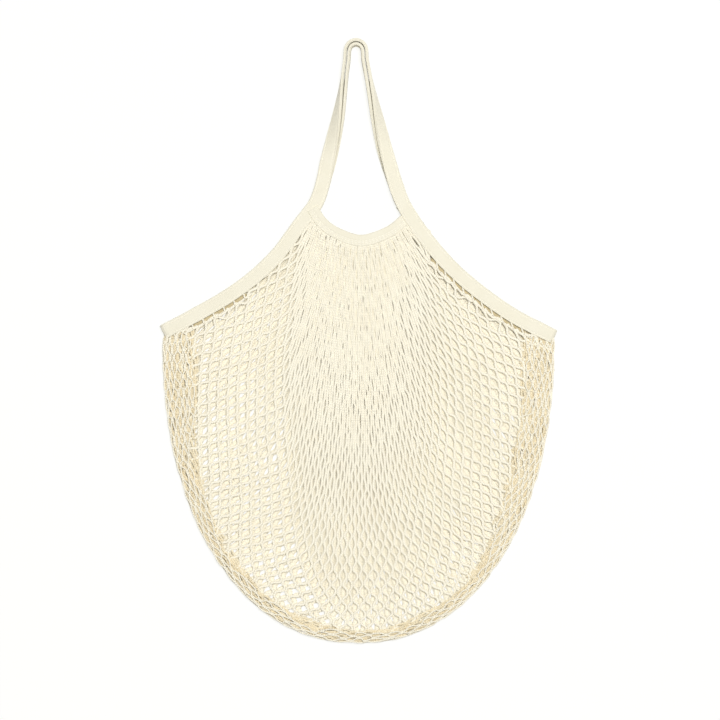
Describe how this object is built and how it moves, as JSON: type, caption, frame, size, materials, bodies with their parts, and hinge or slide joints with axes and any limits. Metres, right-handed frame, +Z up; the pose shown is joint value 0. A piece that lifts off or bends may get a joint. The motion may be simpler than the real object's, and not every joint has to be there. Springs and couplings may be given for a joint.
{
  "type": "cotton net shopping bag",
  "caption": "Empty cotton filet net shopping bag with long looped handles, laid flat on its back with the front side up.",
  "frame": {"origin": "on the surface that the bag lies on, under the middle of its bounding box", "axes": "+Y towards the handles, +X to the right seen from the front side, +Z up out of the front side"},
  "size_m": [0.3978, 0.6058, 0.0158],
  "materials": {
    "net_cotton": "unbleached plied cotton yarn, matt",
    "tape_cotton": "unbleached knitted cotton tape, matt, lengthwise ribs"
  },
  "bodies": {
    "root": {"net": "net_cotton", "front_strap": "tape_cotton", "back_strap": "tape_cotton", "front_mouth_rim": "tape_cotton", "back_mouth_rim": "tape_cotton"}
  },
  "joints": []
}
